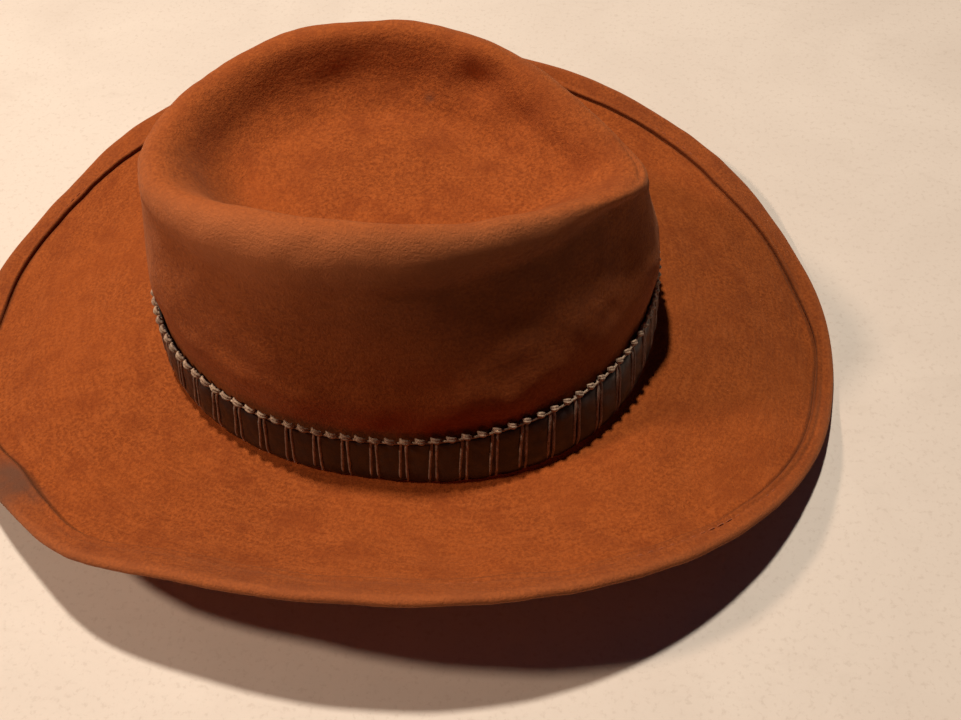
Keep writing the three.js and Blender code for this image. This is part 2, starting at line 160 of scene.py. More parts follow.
def roll_width(t):
    return roll_size(t) * (1 + RIGHT_ROLL * right_side(t))


def roll_depth(t):
    left = smooth(ROLL_REACH * np.sin(t))
    return roll_size(t) * (1 + RIGHT_DROP * right_side(t) + LEFT_DROP * left)


def wall_height(t):
    return crest_height(t) - roll_depth(t) - break_height(t)


def rest_on_table(z):
    """The felt's top lies no lower than its own thickness over the table, with a soft turn."""
    soft = 1.5
    d = z - FELT
    turned = FELT + (d + soft) ** 2 / (4 * soft)
    return np.where(d <= -soft, FELT, np.where(d >= soft, z, turned))


def dish_point(t, inward):
    ox, oy = top_outline(t)
    k = (1 - roll_width(t) / np.hypot(ox - TOP_X, oy)) * (1 - inward)
    z = mix(crest_height(t), CREST_HEIGHT - DISH_DEPTH, smooth(inward / DISH_SLOPE))
    return point(TOP_X + (ox - TOP_X) * k, oy * k, z)


def roll_point(t, angle):
    crest = dish_point(t, 0)
    ox, oy = top_outline(t)
    out = np.sin(angle)
    drop = roll_depth(t) * (1 - np.cos(angle))
    return point(mix(crest[..., 0], ox, out), mix(crest[..., 1], oy, out), crest[..., 2] - drop)


def wall_point(t, rise):
    bx, by = base_outline(t)
    ox, oy = top_outline(t)
    height = wall_height(t) * rise
    most = mix(END_SWELL, SIDE_SWELL, np.sin(t) ** 2)
    reach = most * bump_at(height, SWELL_HEIGHT, SWELL_SPREAD) / np.hypot(ox - TOP_X, oy)
    x = mix(bx, ox, rise) + (ox - TOP_X) * reach
    return point(x, mix(by, oy, rise) + oy * reach, break_height(t) + height)


def brim_point(t, out):
    bx, by = base_outline(t)
    ex, ey = edge_outline(t)
    curl = CURL - CURL_WAVE * np.cos(2 * t)
    z = mix(break_height(t), edge_height(t), np.maximum(out, 0) ** curl)
    return point(mix(bx, ex, out), mix(by, ey, out), rest_on_table(z))


def brim_span(t):
    bx, by = base_outline(t)
    ex, ey = edge_outline(t)
    return np.hypot(ex - bx, ey - by)


def felt_point(t, s):
    t, s = np.broadcast_arrays(np.asarray(t, float), np.asarray(s, float))
    up, out = FILLET / wall_height(t), FILLET / brim_span(t)
    u = np.clip((s - 3 + up) / (up + out), 0, 1)[..., None]
    corner = (
        wall_point(t, up) * (1 - u) ** 2
        + wall_point(t, 0 * t) * 2 * u * (1 - u)
        + brim_point(t, out) * u**2
    )
    part = [s <= 1, s <= 2, s <= 3 - up, s >= 3 + out]
    shape = [
        dish_point(t, np.clip(1 - s, 0, 1)),
        roll_point(t, (np.clip(s, 1, 2) - 1) * math.pi / 2),
        wall_point(t, 3 - s),
        brim_point(t, s - 3),
    ]
    return np.select([p[..., None] for p in part], shape, corner)


def normal_of(surface, t, s):
    step = 1e-3
    along = surface(t, s + step) - surface(t, s - step)
    around = surface(t + step, s) - surface(t - step, s)
    n = np.cross(along, around)
    return n / np.linalg.norm(n, axis=-1, keepdims=True)


def off_wall(t, height, distance):
    """Points by height over the brim break and distance off the crown's wall."""
    t, height, distance = np.broadcast_arrays(t, height, distance)

    def wall(a, fall):
        return wall_point(a, -fall)

    s = -height / wall_height(t)
    return wall(t, s) + normal_of(wall, t, s) * distance[..., None]


# ---- Noise, for the hand-blocked unevenness ----
def waves(points, size, seed, count=14):
    """Smooth noise of about -1 to 1 over points in millimetres, with bumps of about this size."""
    rng = np.random.default_rng(seed)
    way = rng.normal(size=(count, 3))
    way /= np.linalg.norm(way, axis=1, keepdims=True)
    way *= TAU / size * rng.uniform(0.6, 1.5, (count, 1))
    phase = rng.uniform(0, TAU, count)
    return np.sin(points @ way.T + phase).sum(-1) / math.sqrt(count)


# ---- Meshes ----
def make_object(name, points, faces, attributes=None):
    """A smooth mesh object from points in millimetres; attributes are numbers or vectors."""
    mesh = bpy.data.meshes.new(name)
    mesh.from_pydata((np.asarray(points) * MM).tolist(), [], faces)
    mesh.polygons.foreach_set("use_smooth", [True] * len(mesh.polygons))
    for key, values in (attributes or {}).items():
        kind = "FLOAT" if np.ndim(values) == 1 else "FLOAT_VECTOR"
        field = "value" if np.ndim(values) == 1 else "vector"
        mesh.attributes.new(key, kind, "POINT").data.foreach_set(field, np.ravel(values))
    mesh.validate()
    mesh.update()
    thing = bpy.data.objects.new(name, mesh)
    bpy.context.scene.collection.objects.link(thing)
    return thing


def grid_faces(rows, columns, wrap_rows=False, wrap_columns=True, start=0):
    i = np.arange(rows if wrap_rows else rows - 1)[:, None]
    j = np.arange(columns if wrap_columns else columns - 1)[None]
    i2, j2 = (i + 1) % rows, (j + 1) % columns
    quads = [i * columns + j, i2 * columns + j, i2 * columns + j2, i * columns + j2]
    return np.stack(np.broadcast_arrays(*quads), -1).reshape(-1, 4) + start


def signed_volume(points, faces):
    a, b, c = points[faces[:, 0]], points[faces[:, 1]], points[faces[:, 2]]
    total = np.einsum("ij,ij->i", a, np.cross(b, c)).sum()
    if faces.shape[1] == 4:
        d = points[faces[:, 3]]
        total += np.einsum("ij,ij->i", a, np.cross(c, d)).sum()
    return total


def outward(points, faces):
    return faces if signed_volume(points, faces) > 0 else faces[:, ::-1]


def ring_object(name, rows, attributes=None):
    """rows is sections x angles x 3: a closed band round the hat."""
    points = rows.reshape(-1, 3)
    faces = outward(points, grid_faces(rows.shape[0], rows.shape[1], wrap_rows=True))
    return make_object(name, points, faces.tolist(), attributes)


def shell_object(name, rows, first, last, attributes=None):
    """rows as for a ring, but open: each end row closes on a pole."""
    n, m = rows.shape[:2]
    points = np.vstack([rows.reshape(-1, 3), first, last])
    quads = grid_faces(n, m)
    flip = signed_volume(points, quads) < 0
    j = np.arange(m)
    near = np.stack([j, (j + 1) % m, np.full(m, n * m)], -1)
    far = np.stack([(n - 1) * m + (j + 1) % m, (n - 1) * m + j, np.full(m, n * m + 1)], -1)
    if flip:
        quads, near, far = quads[:, ::-1], near[:, ::-1], far[:, ::-1]
    faces = quads.tolist() + near.tolist() + far.tolist()
    return make_object(name, points, faces, attributes)


def plate(near, far):
    """Points and outward faces of a closed sheet between two grids of points of one size."""
    n, m = near.shape[:2]
    points = np.vstack([near.reshape(-1, 3), far.reshape(-1, 3)])
    front = grid_faces(n, m, wrap_columns=False)
    behind = grid_faces(n, m, wrap_columns=False, start=n * m)[:, ::-1]
    grid = np.arange(n * m).reshape(n, m)
    edge = np.concatenate([grid[0], grid[1:, -1], grid[-1, -2::-1], grid[-2:0:-1, 0]])
    after = np.roll(edge, -1)
    wall = np.stack([edge, after, after + n * m, edge + n * m], -1)[:, ::-1]
    return points, outward(points, np.vstack([front, behind, wall]))


class Bundle:
    """Many closed shapes gathered into one mesh."""

    def __init__(self):
        self.points, self.faces, self.values, self.count = [], [], [], 0

    def add(self, points, quads, ends=(), value=0.0):
        self.points.append(points)
        start = self.count
        self.faces += (quads + start).tolist() + [[int(k) + start for k in e] for e in ends]
        self.values.append(np.full(len(points), value))
        self.count += len(points)

    def tube(self, path, radius, sides=8, flat=1.0, value=0.0):
        """A round-ended tube; flat squashes it along its second axis."""
        path = np.asarray(path, float)
        way = np.gradient(path, axis=0)
        way /= np.linalg.norm(way, axis=1, keepdims=True)
        steep = abs(way[len(way) // 2, 2]) >= 0.8
        helper = np.array([1.0, 0, 0]) if steep else np.array([0.0, 0, 1])
        side = np.cross(way, helper)
        side /= np.linalg.norm(side, axis=1, keepdims=True)
        other = np.cross(way, side)
        a = angles(sides)
        r = np.broadcast_to(radius, len(path))[:, None, None]
        ring = side[:, None] * np.cos(a)[:, None] + other[:, None] * np.sin(a)[:, None] * flat
        points = (path[:, None] + ring * r).reshape(-1, 3)
        quads = grid_faces(len(path), sides)
        if signed_volume(points, quads) < 0:
            quads = quads[:, ::-1]
        last = (len(path) - 1) * sides
        ends = [list(range(sides)), [last + k for k in range(sides)][::-1]]
        if np.cross(points[1] - points[0], points[2] - points[1]) @ way[0] > 0:
            ends = [e[::-1] for e in ends]
        self.add(points, quads, ends, value)

    def build(self, name):
        values = np.concatenate(self.values)
        return make_object(name, np.vstack(self.points), self.faces, {"strand": values})


def place(piece, body, slot, material, *nodes):
    """Rides the piece on its body and gives it its finish; nodes are CAD nodes it stands for."""
    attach(piece, body)
    if nodes:
        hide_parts(*nodes)
    piece.data.materials.append(material)
    return piece


# ---- Materials ----
class Nodes:
    """A small builder for one procedural material."""

    def __init__(self, name):
        self.material = bpy.data.materials.new(name)
        self.material.use_nodes = True
        self.tree = self.material.node_tree
        self.tree.nodes.clear()
        self.shader = self.new("ShaderNodeBsdfPrincipled")
        out = self.new("ShaderNodeOutputMaterial")
        self.tree.links.new(self.shader.outputs[0], out.inputs["Surface"])
        self.normal = None

    def new(self, kind, **settings):
        node = self.tree.nodes.new(kind)
        for key, value in settings.items():
            setattr(node, key, value)
        return node

    def feed(self, socket, value):
        if isinstance(value, bpy.types.NodeSocket):
            self.tree.links.new(value, socket)
        else:
            socket.default_value = value

    def coordinates(self):
        return self.new("ShaderNodeTexCoord").outputs["Object"]

    def attribute(self, name, vector=False):
        node = self.new("ShaderNodeAttribute", attribute_name=name)
        return node.outputs["Vector" if vector else "Fac"]

    def stretched(self, vector, scale):
        node = self.new("ShaderNodeMapping")
        self.feed(node.inputs["Vector"], vector)
        node.inputs["Scale"].default_value = scale
        return node.outputs[0]

    def noise(self, vector, scale, detail=3.0, rough=0.5, distortion=0.0):
        """Soft noise of about 0 to 1; scale is in bumps to the vector's unit, mostly a metre."""
        node = self.new("ShaderNodeTexNoise")
        self.feed(node.inputs["Vector"], vector)
        for key, value in (("Scale", scale), ("Detail", detail), ("Roughness", rough)):
            node.inputs[key].default_value = value
        node.inputs["Distortion"].default_value = distortion
        return node.outputs["Fac"]

    def cells(self, vector, scale):
        node = self.new("ShaderNodeTexVoronoi")
        self.feed(node.inputs["Vector"], vector)
        node.inputs["Scale"].default_value = scale
        return node.outputs["Distance"]

    def ramp(self, value, low, high, start=0.0, end=1.0):
        """Maps value from start..end to low..high, smoothly, kept inside."""
        node = self.new("ShaderNodeMapRange", interpolation_type="SMOOTHSTEP")
        self.feed(node.inputs["Value"], value)
        limits = {"From Min": start, "From Max": end, "To Min": low, "To Max": high}
        for key, number in limits.items():
            node.inputs[key].default_value = number
        return node.outputs[0]

    def math(self, operation, a, b):
        node = self.new("ShaderNodeMath", operation=operation)
        self.feed(node.inputs[0], a)
        self.feed(node.inputs[1], b)
        return node.outputs[0]

    def blend(self, factor, a, b):
        """Colour a where factor is 0 and b where it is 1."""
        node = self.new("ShaderNodeMix", data_type="RGBA")
        self.feed(node.inputs["Factor"], factor)
        for key, value in (("A", a), ("B", b)):
            socket = next(s for s in node.inputs if s.name == key and s.type == "RGBA")
            self.feed(socket, value if isinstance(value, bpy.types.NodeSocket) else (*value, 1.0))
        return next(s for s in node.outputs if s.type == "RGBA")

    def bump(self, height, strength, distance_mm):
        """Adds a layer of bumps on top of those already there."""
        node = self.new("ShaderNodeBump")
        node.inputs["Strength"].default_value = strength
        node.inputs["Distance"].default_value = distance_mm * MM
        self.feed(node.inputs["Height"], height)
        if self.normal is not None:
            self.feed(node.inputs["Normal"], self.normal)
        self.normal = node.outputs[0]

    def finish(self, colour, roughness, fixed=None):
        """The finished material; fixed are other inputs of the shader with plain values."""
        self.feed(self.shader.inputs["Base Color"], colour)
        self.feed(self.shader.inputs["Roughness"], roughness)
        for key, value in (fixed or {}).items():
            self.shader.inputs[key].default_value = value
        if self.normal is not None:
            self.feed(self.shader.inputs["Normal"], self.normal)
        return self.material


def felt_material():
    """Brushed fur felt: a mottled colour with streaks along the nap, and a little sheen."""
    m = Nodes("felt")
    here, nap = m.coordinates(), m.attribute("nap", vector=True)
    fibre = m.noise(here, 1400, 4, 0.7)
    speckle = m.noise(here, 800, 3, 0.6, 0.4)
    streak = m.noise(m.stretched(nap, (90, 90, 620)), 1.0, 3, 0.6)
    blotch = m.noise(here, 75, 4, 0.55)
    cloud = m.noise(here, 17, 3, 0.5)
    dark, light = (0.225, 0.050, 0.010), (0.40, 0.102, 0.022)
    colour = m.blend(m.ramp(speckle, 0, 1, 0.3, 0.72), dark, light)
    colour = m.blend(m.ramp(streak, 0, 0.35, 0.42, 0.75), colour, (0.46, 0.130, 0.034))
    colour = m.blend(m.ramp(blotch, 0, 0.5, 0.45, 0.72), colour, (0.215, 0.044, 0.010))
    colour = m.blend(m.ramp(cloud, 0, 0.3, 0.4, 0.7), colour, (0.40, 0.095, 0.018))
    # Colour painted on the mesh: a painted highlight on the rim's shoulder and the brim's edge,
    # soiled and worn places, and painted shade in the groove by the overwelt and on the wall's
    # right.
    colour = m.blend(m.attribute("painted_highlight"), colour, (0.52, 0.18, 0.07))
    # Soil, the worn patch and the dark spot, with painted shade on the wall's right mixed in.
    grime_and_shade = m.math("MULTIPLY", m.attribute("grime_and_shade"), m.ramp(blotch, 0.6, 1.0, 0.3, 0.6))
    colour = m.blend(grime_and_shade, colour, (0.15, 0.066, 0.040))
    # Painted shade in the groove by the overwelt and on the wall's right.
    colour = m.blend(m.attribute("seam"), colour, (0.07, 0.022, 0.009))
    m.bump(blotch, 0.4, 0.9)
    m.bump(streak, 0.5, 0.35)
    m.bump(speckle, 0.7, 0.45)
    m.bump(fibre, 0.8, 0.4)
    rough = m.ramp(speckle, 0.88, 1.0, 0.3, 0.7)
    sheen = {"Sheen Weight": 0.2, "Sheen Roughness": 0.45, "Sheen Tint": (1.0, 0.55, 0.32, 1)}
    return m.finish(colour, rough, {"Specular IOR Level": 0.12, **sheen})


def leather_material(name, dark, light, worn, rough, bump, polish):
    """Mottled grained leather; worn is the colour of its creases and polish its coat's weight."""
    m = Nodes(name)
    here = m.coordinates()
    grain = m.cells(here, 1100)
    crease = m.noise(here, 260, 5, 0.65, 0.6)
    mottle = m.noise(here, 60, 3, 0.5)
    colour = m.blend(m.ramp(mottle, 0, 1, 0.35, 0.68), dark, light)
    colour = m.blend(m.ramp(crease, 0, 0.5, 0.56, 0.72), colour, worn)
    m.bump(crease, bump, 0.35)
    m.bump(grain, bump * 0.8, 0.12)
    coat = {"Coat Weight": polish, "Coat Roughness": 0.34}
    return m.finish(colour, m.ramp(crease, rough - 0.12, rough + 0.16, 0.35, 0.65), coat)


def thread_material(name, dark, light, twist, rough):
    """Twisted thread; the mesh's strand values, 0 to 1, bring in a share of a plain brown."""
    m = Nodes(name)
    here = m.coordinates()
    fibre = m.noise(m.stretched(here, (1.0, 1.0, 0.35)), twist, 4, 0.6, 0.8)
    mottle = m.noise(here, 160, 3, 0.5)
    colour = m.blend(m.ramp(fibre, 0, 1, 0.34, 0.66), dark, light)
    colour = m.blend(m.ramp(mottle, 0, 0.55, 0.45, 0.65), colour, dark)
    colour = m.blend(m.ramp(m.attribute("strand"), 0, 0.35), colour, (0.33, 0.2, 0.15))
    m.bump(fibre, 0.8, 0.2)
    return m.finish(colour, rough, {"Sheen Weight": 0.2, "Sheen Roughness": 0.5})


def satin_material(name, dark, light):
    m = Nodes(name)
    here = m.coordinates()
    weave = m.noise(m.stretched(here, (1.0, 1.0, 0.12)), 2600, 2, 0.5)
    fold = m.noise(here, 45, 3, 0.5)
    colour = m.blend(m.ramp(weave, 0, 1, 0.35, 0.65), dark, light)
    colour = m.blend(m.ramp(fold, 0, 0.3, 0.4, 0.65), colour, dark)
    m.bump(weave, 0.25, 0.08)
    sheen = {"Sheen Weight": 0.3, "Sheen Roughness": 0.3, "Anisotropic": 0.5}
    return m.finish(colour, m.ramp(weave, 0.28, 0.42), sheen)


def plain_material(name, dark, light):
    m = Nodes(name)
    grain = m.noise(m.coordinates(), 300, 3, 0.5)
    colour = m.blend(m.ramp(grain, 0, 1, 0.3, 0.7), dark, light)
    m.bump(grain, 0.15, 0.1)
    return m.finish(colour, m.ramp(grain, 0.35, 0.5))


def table_material():
    m = Nodes("table")
    here = m.coordinates()
    grit = m.noise(here, 420, 5, 0.65)
    cloud = m.noise(here, 9, 5, 0.6, 0.6)
    vein = m.noise(m.stretched(here, (1.0, 2.2, 1.0)), 26, 6, 0.62, 1.2)
    dark, light = (0.77, 0.73, 0.685), (0.83, 0.795, 0.75)
    colour = m.blend(m.ramp(cloud, 0, 1, 0.3, 0.7), dark, light)
    colour = m.blend(m.ramp(vein, 0, 0.22, 0.55, 0.75), colour, (0.64, 0.595, 0.545))
    colour = m.blend(m.ramp(grit, 0, 0.4, 0.52, 0.68), colour, (0.60, 0.55, 0.50))
    m.bump(grit, 0.06, 0.2)
    return m.finish(colour, m.ramp(grit, 0.5, 0.62))


FELT_FINISH = felt_material()
BAND_FINISH = leather_material(
    "band_leather",
    dark=(0.009, 0.0065, 0.0075),
    light=(0.021, 0.013, 0.0135),
    worn=(0.04, 0.028, 0.026),
    rough=0.45,
    bump=0.5,
    polish=0.3,
)
SWEAT_FINISH = leather_material(
    "sweat_leather",
    dark=(0.17, 0.075, 0.032),
    light=(0.25, 0.115, 0.05),
    worn=(0.12, 0.05, 0.022),
    rough=0.5,
    bump=0.25,
    polish=0.1,
)
LACE_FINISH = thread_material(
    "waxed_thread", dark=(0.17, 0.11, 0.075), light=(0.66, 0.50, 0.35), twist=1900, rough=0.5
)
WRAP_FINISH = thread_material(
    "wrap_thread", dark=(0.11, 0.072, 0.055), light=(0.42, 0.30, 0.22), twist=1500, rough=0.5
)
SEW_FINISH = thread_material(
    "welt_thread", dark=(0.28, 0.066, 0.015), light=(0.42, 0.11, 0.026), twist=2400, rough=0.9
)
SATIN_FINISH = satin_material("satin", (0.075, 0.03, 0.016), (0.15, 0.065, 0.034))
REED_FINISH = plain_material("reed", (0.6, 0.54, 0.44), (0.72, 0.66, 0.56))
LABEL_FINISH = plain_material("label", (0.6, 0.55, 0.43), (0.72, 0.67, 0.55))


# ---- Felt body ----
AROUND = angles(560)
POLE = 0.06  # s where the section of the felt closes on the middle of the dish

# Soft hand-made dents: angle and s of the middle, their spreads in radians and in s, and the depth
# in millimetres. A negative depth is a bulge.
DENTS = [
    (math.radians(66), 0.83, 0.13, 0.06, 3.0),
    (math.radians(66), 0.97, 0.15, 0.06, -1.6),
    (math.radians(48), 0.80, 0.14, 0.06, 1.8),
    (math.radians(30), 1.9, 0.22, 0.45, 2.6),
    (math.radians(-28), 2.0, 0.24, 0.50, 2.4),
    (math.radians(268), 2.44, 0.75, 0.07, 1.2),
    (math.radians(294), 2.62, 0.20, 0.08, -1.0),
    (math.radians(240), 2.40, 0.16, 0.12, 1.2),
    (math.radians(150), 2.3, 0.30, 0.30, 1.5),
    (math.radians(115), 0.93, 0.75, 0.05, -1.2),
    (math.radians(115), 0.79, 0.75, 0.06, 1.8),
    (math.radians(115), 0.66, 0.75, 0.06, -0.8),
    (math.radians(178), 0.80, 0.40, 0.06, 1.2),
    (math.radians(24), 0.79, 0.30, 0.06, 1.8),
    (math.radians(8), 1.15, 0.35, 0.25, 1.5),
    (math.radians(350), 2.48, 0.22, 0.16, -1.6),
    (math.radians(193), 2.58, 0.22, 0.14, -1.5),
]

# The overwelt was cut by hand: angle and spread in degrees, and extra width in millimetres.
WELT_EXTRA = [
    (142, 14, 4.0),
    (172, 8, -1.0),
    (186, 6, 1.5),
    (224, 5, 2.0),
    (241, 7, -2.5),
    (258, 9, 1.5),
    (279, 8, 0.5),
    (297, 5, -2.5),
    (335, 30, -4.2),
    (2, 9, -3.0),
    (34, 9, 3.5),
    (62, 8, -1.0),
    (75, 8, -3.5),
]

# The unevenness of hand-blocked felt: height and size of the bumps in millimetres, and the seed.
UNEVEN = [(0.55, 70, 3), (0.28, 26, 5), (0.07, 9, 8)]

# The felt's section at the cut edge of the overwelt: millimetres past the cut, and over the brim.
# It falls into a narrow groove in the brim's top and then stands up from it.
CUT_EDGE = [
    (-0.5, -0.08),
    (-0.15, -0.4),
    (0.3, -0.5),
    (0.3, 0.2),
    (0.0, 0.9),
    (0.0, 1.5),
    (0.35, 1.95),
]

# A small dark spot in the dish, a worn patch on the welt, and where painted shade lies on the wall
# at the wearer's right front.
SPOT_ANGLE, SPOT_PLACE = math.radians(79), 0.735
WORN_ANGLE = math.radians(227)
WALL_SHADE_ANGLE, WALL_SHADE_PLACE = math.radians(308), 2.0


def welt_width(t):
    width = WELT_WIDTH + 0 * t
    for angle, spread, extra in WELT_EXTRA:
        width = width + extra * bump_at(turn_from(t, math.radians(angle)), 0, math.radians(spread))
    return width


def dents(t, s):
    total = np.zeros(np.broadcast(t, s).shape)
    for angle, middle, wide, tall, depth in DENTS:
        total -= depth * bump_at(turn_from(t, angle), 0, wide) * bump_at(s, middle, tall)
    return total


def felt_rows():
    """Stations of the closed felt section: s and the distance off the blocked surface, by angle."""
    t = AROUND
    span = brim_span(t)
    up, out, cut = 3 - FILLET / wall_height(t), 3 + FILLET / span, 4 - welt_width(t) / span
    even = np.ones_like(t)
    rows = []

    def run(start, end, count, distance=0.0, last=False):
        for k in np.linspace(0, 1, count, endpoint=last):
            rows.append((mix(start, end, k), distance * even))

    # The outside: dish, rim, wall, brim break and the brim's top as far as the overwelt's cut edge.
    run(POLE * even, 0.5 * even, 14)
    run(0.5 * even, 1 * even, 30)
    run(1 * even, 2 * even, 22)
    run(2 * even, up, 34)
    run(up, out, 9)
    run(out, cut - 0.004, 46)
    # The overwelt stands up from its groove, and is lifted a little more where its edge is worn.
    lift = 1 + 0.8 * bump_at(turn_from(t, WORN_ANGLE), 0, 0.05)
    for step, rise in CUT_EDGE:
        rows.append((cut + step / span, rise * (lift if rise > 0 else even)))
    top = cut + 0.9 / span
    stitch = cut + STITCH_INSET / span
    radius = (WELT_RISE + FELT) / 2
    for k in np.linspace(0, 1, 12):
        s = mix(top, 4 - radius / span, k)
        from_stitch = (s - stitch) * span
        raised = 0.8 * WELT_RISE * (lift - 1) * smooth(1 - k * 2)
        rows.append((s, WELT_RISE - STITCH_DIP * bump_at(from_stitch, 0, 0.9) + raised))
    # The rounded edge of the brim, and then the inside of the felt back to the middle of the dish.
    for a in np.radians(np.linspace(80, -80, 13)):
        s = 4 - radius * (1 - math.cos(a)) / span
        rows.append((s, even * (radius * math.sin(a) + (WELT_RISE - FELT) / 2)))
    run(4 - radius / span, out, 34, -FELT)
    run(out, up, 6, -FELT)
    run(up, 2 * even, 14, -FELT)
    run(2 * even, 1 * even, 12, -FELT)
    run(1 * even, POLE * even, 16, -FELT, last=True)
    return np.array([r[0] for r in rows]), np.array([r[1] for r in rows])


def felt_body():
    s, distance = felt_rows()
    t = np.broadcast_to(AROUND, s.shape)
    base = felt_point(t, s)
    # The felt is even where it meets the table, in the middle of the dish and under the hatband.
    on_brim = smooth((s - 3.1) / 0.3)
    uneven = sum(height * waves(base, size, seed) for height, size, seed in UNEVEN)
    ease = smooth((base[..., 2] - FELT) / 6) * smooth(s / 0.3)
    clear_of_band = 1 - bump_at(s, 2.86, 0.16)
    distance = distance + uneven * ease * mix(clear_of_band, 1, on_brim)
    distance = distance + dents(t, s) * clear_of_band
    rows = base + normal_of(felt_point, t, s) * distance[..., None]
    rows[..., 2] = np.maximum(rows[..., 2], 0)

    # Painted colour, each from 0 to 1: painted shade in the groove by the overwelt and on the
    # wall's right, a painted highlight on the rim's shoulder and the brim's edge, and soiled
    # places.
    span = brim_span(t)
    past_cut = (s - 4) * span + welt_width(t)
    in_welt = smooth(past_cut / 2)
    outside = distance > -1
    # Painted shade in the groove by the overwelt, darker where the welt is lifted; its mask below
    # also carries the painted wall shade.
    depth = 0.65 + 0.3 * bump_at(turn_from(t, WORN_ANGLE), 0, 0.08)
    # Painted shade on the upper wall at the wearer's right front.
    wall_shade = bump_at(s, WALL_SHADE_PLACE, 0.45) * bump_at(turn_from(t, WALL_SHADE_ANGLE), 0, 0.75)
    seam = np.clip(outside * bump_at(past_cut, -0.1, 0.6) * depth + 0.35 * wall_shade, 0, 1)
    # Painted highlight on the rim's shoulder, strongest on the wearer's right, and along the brim's
    # edge.
    crest = bump_at(s, 1.48, 0.5) * (0.25 + 0.45 * right_side(t))
    painted_highlight = np.clip(crest + 0.3 * bump_at(s, 4.0, 0.03), 0, 0.8)
    patch = bump_at(turn_from(t, WORN_ANGLE), 0, 0.085) * smooth((s - 3.80) / 0.08)
    spot = 0.9 * bump_at(turn_from(t, SPOT_ANGLE), 0, 0.028) * bump_at(s, SPOT_PLACE, 0.016)
    # Soil, the worn patch and the dark spot, with some of the painted wall shade.
    grime_and_shade = np.clip(patch * 1.1 + spot + 0.12 * in_welt + 0.25 * wall_shade, 0, 1)

    # The nap's coordinates in metres: round the hat, and along the section.
    steps = np.linalg.norm(np.diff(rows, axis=0, prepend=rows[:1]), axis=-1)
    along = np.cumsum(steps, axis=0)
    nap = point(0.12 * np.cos(t), 0.12 * np.sin(t), along * MM)
    middle = felt_point(0.0, POLE)[2]
    poles = [np.array([TOP_X, 0, middle]), np.array([TOP_X, 0, middle - FELT])]
    extra = {
        "painted_highlight": np.append(painted_highlight.ravel(), [0, 0]),
        "grime_and_shade": np.append(grime_and_shade.ravel(), [0, 0]),
        "seam": np.append(seam.ravel(), [0, 0]),
        "nap": np.vstack([nap.reshape(-1, 3), np.zeros((2, 3))]),
    }
    thing = shell_object("felt_crown_and_brim", rows, *poles, extra)
    return place(thing, BODY, "felt", FELT_FINISH, "felt_body")


def stitch_row(line, count, length, lift, radius):
    """Separate stitches along line(t, rise): short threads that dip into the cloth at both ends.

    length is a stitch's share of the pitch, lift the rise of its middle and radius the thread's."""
    bundle = Bundle()
    for i in range(count):
        t = (i + np.linspace(-0.5, 0.5, 7) * length) * TAU / count
        rise = lift - 2.2 * radius * np.abs(np.linspace(-1, 1, 7)) ** 3
        bundle.tube(line(t, rise), radius, 6)
    return bundle


def welt_stitching():
    def line(t, rise):
        s = 4 - (welt_width(t) - STITCH_INSET) / brim_span(t)
        distance = WELT_RISE - STITCH_DIP + rise
        return felt_point(t, s) + normal_of(felt_point, t, s) * distance[:, None]

    stitches = stitch_row(line, count=250, length=0.66, lift=-0.26, radius=0.24)
    thing = stitches.build("welt_stitches")
    return place(thing, BODY, "welt_thread", SEW_FINISH, "welt_stitching")


# ---- Hatband ----
BAND_IN = BAND_STANDOFF
BAND_OUT = BAND_IN + BAND_THICK
BAND_TOP = BAND_BOTTOM + BAND_HEIGHT


def hatband_strap():
    """The padded leather strap, drawn in at the pairs of thread between its panels."""
    per_panel = 16
    t = angles(PANELS * per_panel)
    across = (t * PANELS / TAU + 0.5) % 1 * 2 - 1  # -1 and 1 at the thread pairs
    fill = (1 - np.abs(across) ** 3.2) ** 0.8  # 1 where a panel is fullest, 0 at the threads
    lean = waves(point(np.floor(t * PANELS / TAU + 0.5) * 7.3, 0, 0), 9, 21)
    section = []
    for v in np.linspace(0, 1, 15):
        belly = (1 - np.abs(2 * v - 1) ** 3.0) ** 0.7
        puff = BAND_OUT - 1.0 + belly * (0.35 + 1.15 * fill) * (1 + 0.12 * lean)
        tuck = 0.9 * (1 - fill) * (2 * v - 1)
        section.append(off_wall(t, mix(BAND_BOTTOM - 1.5, BAND_TOP, v) - tuck, puff))
    section.append(off_wall(t, BAND_TOP - 0.6 * (1 - fill), BAND_IN + 0.4))
    for v in (1, 0.5, 0):
        section.append(off_wall(t, mix(BAND_BOTTOM + 0.3, BAND_TOP - 0.8, v), BAND_IN))
    rows = np.array(section)
    outward_of_wall = normal_of(lambda a, fall: wall_point(a, -fall), t, 0 * t - 0.2)
    rows += 0.12 * waves(rows, 5, 31)[..., None] * outward_of_wall
    thing = ring_object("hatband_leather_strap", rows)
    return place(thing, BAND, "band_leather", BAND_FINISH, "hatband_strap")


def near_tab(t):
    return abs(turn_from(t, LEFT)) < TAB_CLEAR_TURN


def hatband_wraps():
    """Pairs of waxed thread wound round the strap between its panels."""
    rng = np.random.default_rng(7)
    bundle = Bundle()
    v = np.linspace(-0.12, 1.06, 15)  # 0 to 1 up the strap, and past both its edges
    bow = np.clip(1 - np.abs(2 * v - 1) ** 6, 0, 1)
    distance = BAND_IN + 0.5 + (BAND_OUT - BAND_IN - 0.75) * bow + 0.35
    height = np.clip(mix(BAND_BOTTOM, BAND_TOP, v), BAND_BOTTOM - 1.2, BAND_TOP + 1)
    for i in range(PANELS):
        middle = (i + 0.5) * TAU / PANELS
        if near_tab(middle):
            continue
        reach = float(np.hypot(*base_outline(middle)))
        for side in (-1, 1):
            slant = rng.normal(1.8, 0.12)
            apart = side * (1.05 + 0.18 * np.cos(v * 3)) + slant * (v - 0.5)
            path = off_wall(middle + apart / reach, height, distance)
            radius = 0.6 * (1 + 0.1 * np.sin(v * 9 + i))
            bundle.tube(path, radius, 8, value=rng.uniform(0, 0.6))
    thing = bundle.build("hatband_thread_wraps")
    return place(thing, BAND, "waxed_thread", WRAP_FINISH)


